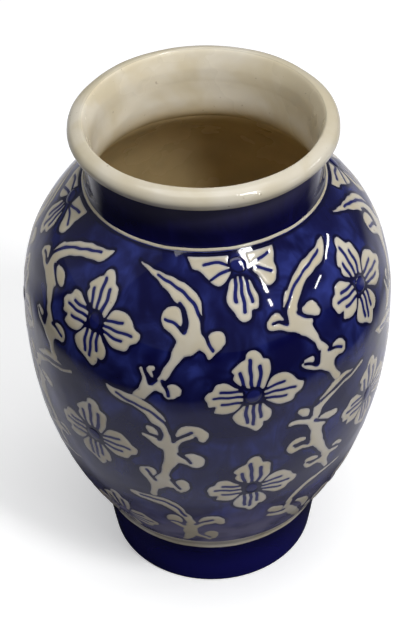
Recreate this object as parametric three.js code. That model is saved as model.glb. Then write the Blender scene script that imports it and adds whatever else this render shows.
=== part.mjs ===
// A glazed pottery vase: a tall foot ring, a full belly thrown as a bowl and a shoulder, a short neck and a
// heavy rolled lip. Each thrown section seats in the next with a half-lap, which the potter scores and fills
// with slip before the glaze firing.
// Millimetres, +Z up, origin at the centre of the foot's underside.
import * as THREE from "three";

// Heights of the stacked sections, from the foot upwards.
const FOOT_HEIGHT = 32;
const BODY_HEIGHT = 185;
const NECK_HEIGHT = 23;
const LIP_HEIGHT = 10;
const BELLY_LEVEL = 109; // widest line and body seam, above the foot

// Outside radii, each at one section, and how far the next one stands out from it.
const FOOT_RADIUS = 51;
const FOOT_FLARE = 4.5; // top of the foot beyond its base
const BELLY_RADIUS = 86;
const NECK_RADIUS = 53.2;
const NECK_FLARE = 1.2; // base of the neck beyond its throat
const LIP_OVERHANG = 6.8; // lip beyond the throat
const LIP_UNDERCUT = 1.9; // lip's lower edge inside its widest line
const LIP_WIDEST = 6; // height of the lip's widest line above its base
const LIP_CROWN = 2.6; // top of the lip inside its widest line
const MOUTH_FLARE = 3.6; // mouth beyond the neck's bore

// Walls.
const FOOT_WALL = 7;
const BODY_WALL = 6;
const NECK_WALL = 4.2;
const FLOOR_THICKNESS = 8;

// How full the curves are: 1 is a straight cone, and more swells outwards.
const LOWER_FULLNESS = 2.15;
const SHOULDER_FULLNESS = 2.85;

// Half-laps between sections.
const SLIP_GAP = 0.3; // layer of luting slip in every joint
const FLOOR_LAP = 2.5;
const BELLY_LAP = 5;
const NECK_LAP = 4;
const LIP_LAP = 3;
const SPIGOT_WALL = 2.6; // neck's spigot inside the shoulder's opening
const TONGUE_WALL = 2.1; // neck's tongue inside the lip

// Rounded edges.
const EDGE_ROUND = 0.8;
const FOOT_ROUND = 1.5;
const LIP_ROUND = 2.4;
const NECK_ROUND = 4; // outside, where the neck turns out to the shoulder
const NECK_TURN = 5; // height of that turn above the shoulder
const FLOOR_ROUND = 14; // inside, where the wall turns into the floor

const SEGMENTS = 48; // round the axis
const WALL_STEPS = 14; // along each curved wall
const ROUND_STEPS = 3; // along each rounded edge
const SLOPE_STEP = 0.01; // height step that a wall's slope is taken over

const bodyBase = FOOT_HEIGHT;
const bellyHeight = bodyBase + BELLY_LEVEL;
const neckBase = bodyBase + BODY_HEIGHT;
const lipBase = neckBase + NECK_HEIGHT;
const rimHeight = lipBase + LIP_HEIGHT;

const bodySeatRadius = FOOT_RADIUS + FOOT_FLARE;
const neckSeatRadius = NECK_RADIUS + NECK_FLARE;
const neckBore = NECK_RADIUS - NECK_WALL;
const spigotRadius = neckBore + SPIGOT_WALL;
const lapRadius = BELLY_RADIUS - BODY_WALL / 2; // middle of the wall at the belly seam

// Outside radius of the belly at a height, from the foot's seat to the neck's.
function bellyRadius(height) {
  const above = height > bellyHeight;
  const endRadius = above ? neckSeatRadius : bodySeatRadius;
  const span = above ? neckBase - bellyHeight : bellyHeight - bodyBase;
  const away = Math.min(1, Math.abs(height - bellyHeight) / span);
  const fullness = above ? SHOULDER_FULLNESS : LOWER_FULLNESS;
  return BELLY_RADIUS - (BELLY_RADIUS - endRadius) * away ** fullness;
}

// The inside of the wall, square to the outside at that height.
function insideAt(height) {
  const rise = bellyRadius(height + SLOPE_STEP) - bellyRadius(height - SLOPE_STEP);
  const slope = rise / (2 * SLOPE_STEP);
  const length = Math.hypot(1, slope);
  return [bellyRadius(height) - BODY_WALL / length, height + (BODY_WALL * slope) / length];
}

function heightsBetween(low, high) {
  return Array.from({ length: WALL_STEPS + 1 }, (_, i) => low + ((high - low) * i) / WALL_STEPS);
}

// Corners are [radius, height] or [radius, height, rounding]. A rounding is limited by its shorter side.
function outline(corners, closed) {
  const points = [];
  corners.forEach(([radius, height, rounding = 0], i) => {
    const corner = new THREE.Vector2(radius, height);
    const before = corners[(i + corners.length - 1) % corners.length];
    const after = corners[(i + 1) % corners.length];
    const inward = new THREE.Vector2(before[0], before[1]).sub(corner);
    const outward = new THREE.Vector2(after[0], after[1]).sub(corner);
    const reach = Math.min(rounding, 0.45 * inward.length(), 0.45 * outward.length());
    if (reach === 0) {
      points.push(corner);
      return;
    }
    const start = inward.setLength(reach).add(corner);
    const end = outward.setLength(reach).add(corner);
    points.push(...new THREE.QuadraticBezierCurve(start, corner, end).getPoints(ROUND_STEPS));
  });
  if (closed) points.push(points[0].clone());
  return points;
}

// A section of the pot: its outline turned round the vase's axis.
function thrown(name, corners, material, closed = true) {
  const geometry = new THREE.LatheGeometry(outline(corners, closed), SEGMENTS);
  geometry.rotateX(Math.PI / 2);
  const mesh = new THREE.Mesh(geometry, material);
  mesh.name = name;
  return mesh;
}

function footRing(glaze) {
  return thrown(
    "foot_ring",
    [
      [FOOT_RADIUS - FOOT_WALL, 0, FOOT_ROUND],
      [FOOT_RADIUS, 0, FOOT_ROUND],
      [bodySeatRadius, FOOT_HEIGHT, EDGE_ROUND],
      [bodySeatRadius - FOOT_WALL, FOOT_HEIGHT, EDGE_ROUND],
    ],
    glaze,
  );
}

// The lower half of the body, with its floor. It sits on the foot ring and reaches down inside it.
function lowerBody(glaze) {
  const footTaper = (FOOT_FLARE * FLOOR_LAP) / FOOT_HEIGHT;
  const plugRadius = bodySeatRadius - FOOT_WALL - footTaper - SLIP_GAP;
  const underside = bodyBase + SLIP_GAP;
  const floorBottom = bodyBase - FLOOR_LAP;
  const floorTop = floorBottom + FLOOR_THICKNESS;
  const tongueRadius = lapRadius - SLIP_GAP / 2;
  const outside = heightsBetween(underside, bellyHeight).map((h) => [bellyRadius(h), h]);
  const inside = heightsBetween(bodyBase, bellyHeight)
    .map(insideAt)
    .filter(([, h]) => h > floorTop + FLOOR_ROUND)
    .reverse();
  const [floorRadius] = insideAt(bodyBase);
  return thrown(
    "lower_body",
    [
      [0, floorBottom],
      [plugRadius, floorBottom, EDGE_ROUND],
      [plugRadius, underside],
      ...outside,
      [tongueRadius, bellyHeight],
      [tongueRadius, bellyHeight + BELLY_LAP, EDGE_ROUND],
      [BELLY_RADIUS - BODY_WALL, bellyHeight + BELLY_LAP],
      ...inside,
      [floorRadius, floorTop, FLOOR_ROUND],
      [0, floorTop],
    ],
    glaze,
    false,
  );
}

// The upper half of the body, from the belly seam to the opening that takes the neck's spigot.
function upperBody(glaze) {
  const socketRadius = lapRadius + SLIP_GAP / 2;
  const openingRadius = spigotRadius + SLIP_GAP;
  const seam = bellyHeight + SLIP_GAP;
  const outside = heightsBetween(seam, neckBase).map((h) => [bellyRadius(h), h]);
  const inside = heightsBetween(seam, neckBase)
    .map(insideAt)
    .filter(([r, h]) => h > seam + BELLY_LAP && r > openingRadius + EDGE_ROUND)
    .reverse();
  const openingBase = neckBase - NECK_LAP - SLIP_GAP;
  return thrown(
    "upper_body",
    [
      ...outside,
      [openingRadius, neckBase],
      [openingRadius, Math.max(openingBase, inside[0][1] + EDGE_ROUND)],
      ...inside,
      [BELLY_RADIUS - BODY_WALL, seam + BELLY_LAP],
      [socketRadius, seam + BELLY_LAP],
      [socketRadius, seam],
    ],
    glaze,
  );
}

function neckCollar(glaze) {
  const seat = neckBase + SLIP_GAP;
  const tongueRadius = neckBore + TONGUE_WALL;
  return thrown(
    "neck_collar",
    [
      [neckBore, neckBase - NECK_LAP, EDGE_ROUND],
      [spigotRadius, neckBase - NECK_LAP, EDGE_ROUND],
      [spigotRadius, seat],
      [neckSeatRadius, seat],
      [NECK_RADIUS, seat + NECK_TURN, NECK_ROUND],
      [NECK_RADIUS, lipBase],
      [tongueRadius, lipBase],
      [tongueRadius, lipBase + LIP_LAP, EDGE_ROUND],
      [neckBore, lipBase + LIP_LAP],
    ],
    glaze,
  );
}

function rolledLip(glaze) {
  const underside = lipBase + SLIP_GAP;
  const socketRadius = neckBore + TONGUE_WALL + SLIP_GAP;
  const lipRadius = NECK_RADIUS + LIP_OVERHANG;
  return thrown(
    "rolled_lip",
    [
      [socketRadius, underside],
      [lipRadius - LIP_UNDERCUT, underside, EDGE_ROUND],
      [lipRadius, lipBase + LIP_WIDEST, LIP_ROUND],
      [lipRadius - LIP_CROWN, rimHeight, LIP_ROUND],
      [neckBore + MOUTH_FLARE, rimHeight, LIP_ROUND],
      [neckBore, underside + LIP_LAP],
      [socketRadius, underside + LIP_LAP],
    ],
    glaze,
  );
}

const cobaltGlaze = new THREE.MeshStandardMaterial({ color: 0x12146b, roughness: 0.12, metalness: 0 });
const navyGlaze = new THREE.MeshStandardMaterial({ color: 0x0a0a3c, roughness: 0.1, metalness: 0 });
const creamGlaze = new THREE.MeshStandardMaterial({ color: 0xd5ccb6, roughness: 0.22, metalness: 0 });

const vase = new THREE.Group();
vase.add(
  footRing(navyGlaze),
  lowerBody(cobaltGlaze),
  upperBody(cobaltGlaze),
  neckCollar(navyGlaze),
  rolledLip(creamGlaze),
);

export default vase;
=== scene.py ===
"""A hand-painted pottery vase: cobalt ground, cream flowers and vines, a navy neck and foot, a cream lip.

Heights, radii and painted shapes are in millimetres here, and go into Blender in metres.
"""

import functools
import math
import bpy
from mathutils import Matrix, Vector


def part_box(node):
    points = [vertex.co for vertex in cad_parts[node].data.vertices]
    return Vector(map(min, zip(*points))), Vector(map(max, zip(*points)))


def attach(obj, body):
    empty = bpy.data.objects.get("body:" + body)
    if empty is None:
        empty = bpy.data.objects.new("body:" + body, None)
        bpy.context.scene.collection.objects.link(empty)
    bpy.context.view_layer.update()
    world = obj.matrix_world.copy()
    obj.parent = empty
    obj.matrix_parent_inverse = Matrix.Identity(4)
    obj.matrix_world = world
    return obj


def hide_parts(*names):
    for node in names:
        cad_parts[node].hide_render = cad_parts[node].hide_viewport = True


bl_info = {
    "name": "Painted Vase",
    "version": (1, 0, 0),
    "blender": (4, 5, 0),
    "location": "View3D > Sidebar > Vase",
    "description": "Builds a glazed vase with painted flowers and vines over its turned clay sections",
    "category": "Object",
}

import bmesh
import bpy
import numpy as np
from bpy.props import FloatProperty, FloatVectorProperty, IntProperty, PointerProperty
from bpy.types import Operator, Panel, PropertyGroup
from mathutils import Matrix, Vector

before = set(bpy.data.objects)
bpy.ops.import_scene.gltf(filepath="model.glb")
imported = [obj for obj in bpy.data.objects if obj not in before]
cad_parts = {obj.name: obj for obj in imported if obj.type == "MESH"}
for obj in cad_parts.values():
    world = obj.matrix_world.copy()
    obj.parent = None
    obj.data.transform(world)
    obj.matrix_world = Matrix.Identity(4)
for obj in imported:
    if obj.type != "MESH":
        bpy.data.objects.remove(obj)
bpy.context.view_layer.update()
MM = 0.001


def level(node, corner, axis):
    """One coordinate of a section's box, in millimetres. Corner 0 is the lowest and 1 the highest."""
    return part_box(node)[corner][axis] / MM


# Places taken from the turned sections.
FOOT_TOP = level("foot_ring", 1, 2)
FOOT_SEAT = level("foot_ring", 1, 0)
FLOOR_UNDERSIDE = level("lower_body", 0, 2)
BELLY_HEIGHT = level("upper_body", 0, 2)
BELLY_RADIUS = level("upper_body", 1, 0)
NECK_LINE = level("upper_body", 1, 2)
NECK_SEAT = level("neck_collar", 1, 0)
LIP_BASE = level("rolled_lip", 0, 2)
LIP_RADIUS = level("rolled_lip", 1, 0)
RIM = level("rolled_lip", 1, 2)

# How the walls are turned.
LOWER_FULLNESS = 2.15
SHOULDER_FULLNESS = 2.85
BODY_WALL = 6.0
BODY_OPENING = 51.9  # hole in the shoulder that the neck fills
NECK_THROAT = 53.2
NECK_BORE = 49.0
FLOOR_TOP = FLOOR_UNDERSIDE + 8.0
FOOT_BASE = 51.0
FOOT_INSIDE = 44.0
PLUG_RADIUS = FOOT_SEAT - 7.6  # underside of the floor, inside the foot

# The painted wall, laid flat: millimetres round from the front and down from the neck line.
ROUND_PER_DEGREE = 1.5
HALF_ROUND = 180 * ROUND_PER_DEGREE
PITCH = 0.54  # spacing of the grid that the paint is worked out on
FAR = -9.0  # depth of a place that is far outside every shape


# ---------------------------------------------------------------- sizes and colours that can be changed


def colour_property(name, description, default):
    """A colour that a user can change."""
    return FloatVectorProperty(
        name=name, description=description, subtype="COLOR", size=3, min=0.0, max=1.0, default=default,
    )


class VaseGlazes(PropertyGroup):
    """Colours of the glazes and the clay."""

    cobalt_deep: colour_property("Cobalt, deep", "Ground where the wash is thick", (0.0028, 0.0028, 0.045))
    cobalt_bright: colour_property("Cobalt, bright", "Ground where the wash is thin", (0.026, 0.038, 0.22))
    outline: colour_property("Outline", "Ink line round every painted shape", (0.003, 0.003, 0.034))
    vein: colour_property("Vein", "Thin ink lines inside the painted shapes", (0.012, 0.015, 0.12))
    # Lighter, greyer colour low on the belly; under the lip on the neck the same colour is a painted sheen.
    milky_and_sheen: colour_property(
        "Milky cobalt", "Low on the belly and under the lip, where the glaze clouds", (0.32, 0.3, 0.44),
    )
    # Brighter blue low on the foot: painted light, in place of light that the belly keeps from the foot.
    foot: colour_property("Navy, pooled", "Foot, where the glaze runs thick and bluer", (0.01, 0.009, 0.13))
    navy: colour_property("Navy", "Neck and foot", (0.0025, 0.0022, 0.03))
    cream: colour_property("Cream", "Lip, lines, flowers and vines", (0.64, 0.59, 0.475))
    # Colour inside the belly, darker than the cream as painted shade.
    inner: colour_property("Inner glaze", "Thin glaze inside the belly", (0.62, 0.48, 0.25))
    clay: colour_property("Bare clay", "Standing edge of the foot", (0.42, 0.3, 0.2))


class VaseSurface(PropertyGroup):
    """How the walls and the paint stand."""

    columns: IntProperty(
        name="Columns", description="Faces round each turned piece", default=384, min=48, max=512,
    )
    row_step: FloatProperty(
        name="Row step", description="Height of a face on the painted wall", unit="LENGTH",
        default=0.00135, min=0.0005, max=0.01, precision=5,
    )
    swell: FloatProperty(
        name="Hand swell", description="Height of the broad waves that throwing leaves", unit="LENGTH",
        default=0.00007, min=0.0, max=0.0005, precision=6,
    )
    ripple: FloatProperty(
        name="Glaze ripple", description="Height of the fine waves in the glaze", unit="LENGTH",
        default=0.000016, min=0.0, max=0.0001, precision=6,
    )
    paint_relief: FloatProperty(
        name="Paint relief", description="How far the cream stands over the ground", unit="LENGTH",
        default=0.00015, min=0.00005, max=0.0006, precision=6,
    )
    outline_width: FloatProperty(
        name="Outline width", description="Width of the ink line round a painted shape", unit="LENGTH",
        default=0.0017, min=0.0004, max=0.003, precision=5,
    )
    centre_height: FloatProperty(
        name="Flower centre height", description="Rise of the domed dot in each flower", unit="LENGTH",
        default=0.0004, min=0.0, max=0.002, precision=5,
    )
    seed: IntProperty(
        name="Hand", description="Number that the small differences between copies come from",
        default=7, min=0,
    )


class VaseStudio(PropertyGroup):
    """Lights and camera."""

    camera_height: FloatProperty(
        name="Camera height", description="Height of the camera over the floor", unit="LENGTH",
        default=0.6643, min=0.1, max=5.0, precision=4,
    )
    camera_away: FloatProperty(
        name="Camera distance", description="Distance of the camera in front of the vase's axis",
        unit="LENGTH", default=0.611, min=0.1, max=5.0, precision=4,
    )
    camera_tilt: FloatProperty(
        name="Camera tilt", description="Angle that the camera looks down", subtype="ANGLE",
        default=math.radians(40.87), min=0.0, max=math.radians(90), precision=4,
    )
    camera_roll: FloatProperty(
        name="Camera roll", description="Turn of the camera about its line of sight", subtype="ANGLE",
        default=math.radians(-1.42), min=-0.5, max=0.5, precision=4,
    )
    lens: FloatProperty(
        name="Lens", description="Focal length on a 36 mm sensor, in millimetres",
        default=97.8, min=10.0, max=300.0,
    )
    floor_colour: colour_property("Floor", "Plain pale floor", (0.9, 0.9, 0.9))


# ---------------------------------------------------------------- the turned wall


def wall_radius(height):
    """Outside radius of the body at a height."""
    height = np.asarray(height, float)
    below = np.clip((BELLY_HEIGHT - height) / (BELLY_HEIGHT - FOOT_TOP), 0, None)
    above = np.clip((height - BELLY_HEIGHT) / (NECK_LINE - BELLY_HEIGHT), 0, None)
    drawn_in = (BELLY_RADIUS - FOOT_SEAT) * below**LOWER_FULLNESS
    drawn_in = drawn_in + (BELLY_RADIUS - NECK_SEAT) * above**SHOULDER_FULLNESS
    return BELLY_RADIUS - drawn_in


def wall_slope(height, step=0.05):
    """Change of the outside radius with height."""
    return (wall_radius(height + step) - wall_radius(height - step)) / (2 * step)


TABLE_HEIGHTS = np.linspace(NECK_LINE, FOOT_TOP, 3000)
TABLE_STEPS = np.hypot(np.diff(TABLE_HEIGHTS), np.diff(wall_radius(TABLE_HEIGHTS)))
TABLE_ARC = np.concatenate([[0.0], np.cumsum(TABLE_STEPS)])
WALL_LENGTH = float(TABLE_ARC[-1])


def height_down(arc):
    """Height of a point that lies this far down the wall from the neck line."""
    return np.interp(arc, TABLE_ARC, TABLE_HEIGHTS)


def on_wall(across, arc):
    """Points and outward normals of the smooth wall, from its flat layout."""
    angle = np.radians(across / ROUND_PER_DEGREE)
    height = height_down(arc)
    radius = wall_radius(height)
    slope = wall_slope(height)
    points = np.stack([radius * np.sin(angle), -radius * np.cos(angle), height], -1)
    normals = np.stack([np.sin(angle), -np.cos(angle), -slope], -1)
    return points, normals / np.linalg.norm(normals, axis=-1, keepdims=True)


@functools.lru_cache(maxsize=None)
def hand_waves():
    """Directions, frequencies, heights and phases of the waves that throwing and glazing leave."""
    settings = bpy.context.scene.vase_surface
    rng = np.random.default_rng(settings.seed)
    waves = []
    for count, shortest, longest, height in ((9, 22, 46, settings.swell), (12, 6.5, 11, settings.ripple)):
        for _ in range(count):
            direction = rng.normal(size=3)
            direction /= np.linalg.norm(direction)
            length = rng.uniform(shortest, longest)
            share = height / MM * rng.uniform(0.6, 1.2) / math.sqrt(count / 2)
            waves.append((direction * 2 * math.pi / length, share, rng.uniform(0, 2 * math.pi)))
    return waves


def waviness(points):
    """Rise of the surface at each point, and its gradient."""
    rise = np.zeros(len(points))
    gradient = np.zeros((len(points), 3))
    for wave, height, phase in hand_waves():
        turn = points @ wave + phase
        rise += height * np.sin(turn)
        gradient += (height * np.cos(turn))[:, None] * wave
    settled = ease((points[:, 2] - 1) / 9)
    return rise * settled, gradient * settled[:, None]


def waved(points, normals):
    """Points moved on to the hand-made wall, and the normals there."""
    rise, gradient = waviness(points)
    along = gradient - (gradient * normals).sum(1, keepdims=True) * normals
    turned = normals - along
    return points + normals * rise[:, None], turned / np.linalg.norm(turned, axis=1, keepdims=True)


# ---------------------------------------------------------------- mesh helpers


def start_clean(name):
    """Nothing selected, object mode, and no older copy of the piece."""
    if bpy.context.object is not None and bpy.context.object.mode != "OBJECT":
        bpy.ops.object.mode_set(mode="OBJECT")
    bpy.ops.object.select_all(action="DESELECT")
    old = bpy.data.objects.get(name)
    if old is not None:
        bpy.data.objects.remove(old, do_unlink=True)


def finish_piece(piece, glazes, replaced=()):
    """Gives a piece its glazes and its body, and hides the sections that it replaces."""
    for glaze in glazes:
        piece.data.materials.append(finish_named(glaze))
    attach(piece, "root")
    if replaced:
        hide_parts(*replaced)


def turned_piece(name, outline, closed=True):
    """An outline of (radius, height) turned round the axis, with its seam and poles closed."""
    start_clean(name)
    columns = bpy.context.scene.vase_surface.columns
    bpy.ops.mesh.primitive_circle_add(vertices=len(outline), radius=0.05, location=(0, 0, 0))
    piece = bpy.context.object
    piece.name = name
    piece.data.name = name
    bpy.ops.object.mode_set(mode="EDIT")
    shape = bmesh.from_edit_mesh(piece.data)
    shape.verts.ensure_lookup_table()
    for vert, (radius, height) in zip(shape.verts, outline):
        vert.co = (radius * MM, 0, height * MM)
    if not closed:
        ends = {shape.verts[0], shape.verts[len(outline) - 1]}
        shape.edges.remove(next(edge for edge in shape.edges if set(edge.verts) == ends))
    bmesh.update_edit_mesh(piece.data)
    bpy.ops.mesh.select_all(action="SELECT")
    bpy.ops.mesh.spin(steps=columns, angle=2 * math.pi, center=(0, 0, 0), axis=(0, 0, 1))
    bpy.ops.mesh.select_all(action="SELECT")
    bpy.ops.mesh.remove_doubles(threshold=0.000002)
    bpy.ops.mesh.normals_make_consistent(inside=False)
    bpy.ops.object.mode_set(mode="OBJECT")
    bpy.ops.object.shade_smooth()
    return piece


def read_points(mesh, what="vertices"):
    """Places of the vertices, or of the centres of the faces, in millimetres."""
    source, key = (mesh.vertices, "co") if what == "vertices" else (mesh.polygons, "center")
    flat = np.empty(len(source) * 3)
    source.foreach_get(key, flat)
    return flat.reshape(-1, 3) / MM


def face_places(piece):
    """Radius and height of the middle of every face, in millimetres."""
    centres = read_points(piece.data, "faces")
    return np.hypot(centres[:, 0], centres[:, 1]), centres[:, 2]


def move_points(mesh, points):
    """Puts the vertices at places in millimetres."""
    mesh.vertices.foreach_set("co", (points * MM).ravel())
    mesh.update()


def wave_piece(piece):
    """Gives a turned piece the same waves as the painted wall."""
    mesh = piece.data
    normals = np.empty(len(mesh.vertices) * 3)
    mesh.vertices.foreach_get("normal", normals)
    points, _ = waved(read_points(mesh), normals.reshape(-1, 3))
    move_points(mesh, points)


def paint_faces(piece, chosen, index):
    """Gives the chosen faces the glaze with that index."""
    indices = np.empty(len(piece.data.polygons), np.int32)
    piece.data.polygons.foreach_get("material_index", indices)
    indices[chosen] = index
    piece.data.polygons.foreach_set("material_index", indices)
    piece.data.update()


def smooth_outline(corners, closed=True, steps=6):
    """A curve through the corners. A corner may carry more values, such as a width."""
    corners = np.asarray(corners, float)
    count = len(corners)
    spans = count if closed else count - 1
    pieces = []
    for i in range(spans):
        a = corners[(i - 1) % count] if closed or i > 0 else 2 * corners[0] - corners[1]
        b = corners[i]
        c = corners[(i + 1) % count]
        d = corners[(i + 2) % count] if closed or i + 2 < count else 2 * corners[-1] - corners[-2]
        t = (np.arange(steps) / steps)[:, None]
        pieces.append(
            0.5 * (2 * b + (c - a) * t + (2 * a - 5 * b + 4 * c - d) * t**2 + (3 * b - a - 3 * c + d) * t**3)
        )
    if not closed:
        pieces.append(corners[-1:])
    return np.concatenate(pieces)


# ---------------------------------------------------------------- painted shapes, laid flat
# Each shape is drawn as a painter would: brush strokes of (across, down, half width), outlines of
# (across, down), and cuts, where the ground shows through a shape.

FLOWER = {
    "outlines": [
        [(-4, -5.4), (-7.2, -8), (-8.3, -10.2), (-7.6, -12.2), (-8.9, -13.7), (-8, -15.4), (-5.2, -17.9),
         (-2.8, -19), (-2, -21.3), (0, -22.7), (2.6, -22.7), (4.3, -20.6), (5.4, -18), (7.6, -17.3),
         (8.7, -15.6), (8.5, -10), (6.3, -5.8), (4.3, -3), (0.3, -4.4)],
        [(4.8, -1.2), (5.2, -2), (8.5, -7.2), (12.5, -8.5), (15.8, -8.4), (18.3, -6.3), (19.8, -4.6),
         (21, -2.6), (23.6, -0.7), (23.7, 1.4), (22.6, 3.4), (19.9, 4.7), (18.6, 7.2), (16.6, 8.3),
         (13, 8.2), (9.8, 6.8), (6.5, 4.4), (4.6, 2)],
        [(3.6, 4.2), (6.8, 7.8), (8.3, 10.6), (8.2, 13.8), (6.4, 15.9), (4.6, 15.9), (4, 18), (2.2, 20.3),
         (0.4, 20.4), (-2, 18.4), (-7, 15.2), (-8.8, 12.3), (-8.4, 9.6), (-5.8, 6.2), (-4, 4.4),
         (-0.2, 4.6)],
        [(-4.7, 2.2), (-8.8, 8.1), (-16.5, 7.9), (-16.8, 6), (-16.4, 4.1), (-19.6, 3.7), (-20.4, 1.2),
         (-21.3, -0.9), (-20, -3.6), (-17.8, -4.9), (-16.6, -7.2), (-15.2, -8.2), (-11.5, -8.1),
         (-8.5, -6.2), (-5.4, -3.6), (-4.6, -0.6)],
    ],
    "strokes": [],
    "cuts": [
        [(-0.3, -4.5, 0.6), (-0.4, -11, 0.7), (-0.7, -18.2, 0.8)],
        [(-3.4, -5, 0.6), (-4.4, -9, 0.65), (-5.1, -12.6, 0.65)],
        [(2.4, -4.6, 0.65), (4, -9, 0.7), (3.9, -14.6, 0.75)],
        [(5, -2.4, 0.5), (9, -2.9, 0.5), (14.7, -3.9, 0.5)],
        [(5, 0.1, 0.5), (12, 0.3, 0.5), (19.5, 0.9, 0.5)],
        [(5, 2.2, 0.5), (9, 3.3, 0.5), (15.2, 4.2, 0.5)],
        [(-2.9, 4.6, 0.6), (-3.1, 10, 0.65), (-2.6, 14.9, 0.65)],
        [(0.1, 4.6, 0.6), (0.2, 11, 0.6), (-0.1, 16.2, 0.6)],
        [(3, 4.2, 0.6), (3.2, 8.5, 0.6), (3.5, 12.6, 0.6)],
        [(-5, -3.2, 0.5), (-9.5, -3.4, 0.55), (-14, -3.5, 0.55)],
        [(-5, -0.3, 0.5), (-11, -0.5, 0.5), (-17.4, -0.7, 0.5)],
        [(-5, 2.8, 0.5), (-9.4, 3, 0.5), (-13.8, 3.1, 0.5)],
        [(0.2, 0, 4.7), (0.3, 0, 4.7)],
    ],
}

LEFT_SHORT = {
    "outlines": [],
    "strokes": [
        [(-21, 7.3, 0.2), (-12, 10.9, 1.2), (-5, 13.2, 2.4), (1, 15.8, 3.6), (7, 19.5, 4.6),
         (12, 23.5, 4.6), (13, 29, 3.2)],
        [(13.2, 20.4, 1.2), (15.6, 24.2, 0.9), (16.9, 27.8, 0.3)],
        [(13, 29, 3.2), (12.5, 35, 3.8), (10.5, 39.5, 5.5), (6.5, 43.5, 3.5), (4, 48, 2.3), (0.5, 53, 1.9),
         (-3, 58.5, 1.7), (-7, 62.5, 2.2), (-10, 65.5, 2.6), (-12.8, 69, 3)],
        [(2, 29.3, 5.2), (2.1, 29.6, 5.2)],
        [(1, 31.5, 3.4), (4.5, 36, 2), (8, 39.5, 3)],
        [(15, 39.5, 2.8), (18.5, 42.5, 2.2), (19.8, 45.2, 1.4)],
        [(22.8, 39.3, 4.5), (21, 43, 2.5), (19.6, 46.5, 0.7)],
        [(-6.3, 52.7, 1.3), (-7.8, 53.6, 1.3), (-6.9, 56.8, 0.6)],
        [(-11.6, 54.3, 0.9), (-10.3, 57.5, 1.3), (-9.7, 60.5, 1.9), (-10, 63.5, 2.2)],
        [(2.6, 63.9, 3.9), (1, 66.8, 1.4)],
        [(-4, 62, 2.2), (-1.2, 63.8, 1.3), (-0.3, 66, 0.8)],
    ],
    "cuts": [
        [(-8.5, 12.1, 0.45), (-2, 13.9, 0.5), (3, 16.2, 0.55), (9, 19.9, 0.6), (13, 23.4, 0.7),
         (15.6, 27.5, 0.8), (16.9, 31, 0.9), (17, 35.5, 0.8)],
        [(-1.2, 29.9, 0.5), (2.5, 31.2, 0.55), (5.5, 33.3, 0.65), (8, 35.6, 0.8)],
        [(5.5, 23.5, 0.9), (8.3, 26.8, 1), (9, 31, 1.1), (8.3, 35, 1)],
        [(17.2, 35.3, 0.8), (19.3, 39.8, 0.65), (21.2, 43.4, 0.6)],
        [(-10.3, 53.3, 0.7), (-7.6, 60.9, 0.7), (-5, 58.8, 0.7)],
        [(-2, 58.6, 0.8), (-0.3, 62.3, 0.65), (0.9, 66.4, 0.6)],
        [(-22, 69, 0.5), (-9, 71, 0.5)],
    ],
}

LEFT_LONG = {
    "outlines": [
        [(-30, 0.8), (-24, 1.3), (-15, 2.2), (-8, 4.8), (-3, 8.7), (-1, 11.5), (-0.7, 13.3), (-1.5, 16),
         (-7, 17), (-7.5, 15.6), (-10, 11.8), (-13, 9.5), (-18, 7.6), (-25, 6)],
    ],
    "strokes": [
        [(-4, 15, 2.6), (-1.2, 20, 2.2), (-0.8, 25, 3), (0.8, 29, 3.6), (1.5, 34, 3.4), (0.8, 39, 3.4),
         (-1, 44, 2.3), (-1.8, 49, 2.2), (-3, 54, 4), (-6, 58, 3.6), (-8, 62, 1.9), (-8.6, 68, 1.9)],
        [(-9, 19.2, 1.5), (-7, 20.2, 2.4), (-6, 21, 2.2)],
        [(-11, 24.3, 1.2), (-7.5, 25.4, 1.7), (-3, 28, 3)],
        [(4.5, 21, 1.4), (7.5, 17.8, 2.6), (11.5, 17, 2.8), (15, 19.2, 2.9), (15.3, 22, 1.9)],
        [(3, 27, 2.2), (6, 23.8, 1.3), (10, 20.8, 1.6)],
        [(9, 34.2, 1.6), (12.3, 36.6, 4.2), (12.3, 39.5, 2.2)],
        [(4, 36, 3), (7.5, 38.5, 1.4), (10.5, 40.3, 1.2)],
        [(-12, 49.3, 2.4), (-8.3, 48.6, 2.4), (-7.5, 50.8, 1)],
        [(-12.2, 50.5, 2), (-10.8, 53.5, 1.7), (-8.5, 57, 2.4)],
        [(5.8, 55.8, 3.8), (6.2, 58.5, 2.6), (5, 61.8, 1)],
        [(-1, 56, 3), (2, 57.8, 1.5), (3.6, 60.5, 1.2)],
    ],
    "cuts": [
        [(-24, 3.5, 0.5), (-18, 6, 0.5), (-10, 8.2, 0.5), (-5, 10.6, 0.55), (-1.5, 14, 0.6),
         (0.6, 17.5, 0.8), (1.8, 21, 0.9), (2.8, 25, 0.9)],
        [(-11.5, 22.9, 0.5), (-7, 23, 0.6), (-4.2, 24, 0.9)],
        [(-8.5, 16.2, 0.8), (-5, 17.8, 0.9), (-3.3, 21, 1), (-3.8, 25, 0.9)],
        [(2.8, 24.4, 0.9), (6, 21.7, 0.6), (10.3, 18.3, 0.6)],
        [(5.5, 33.2, 1.1), (8, 36, 0.7), (10, 38.8, 0.6)],
        [(-10.8, 48.6, 0.55), (-8.8, 51.5, 0.6), (-7.2, 54.6, 0.8)],
        [(1.2, 52.8, 0.9), (2.8, 56, 0.6), (4.4, 59.4, 0.6)],
    ],
}

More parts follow.
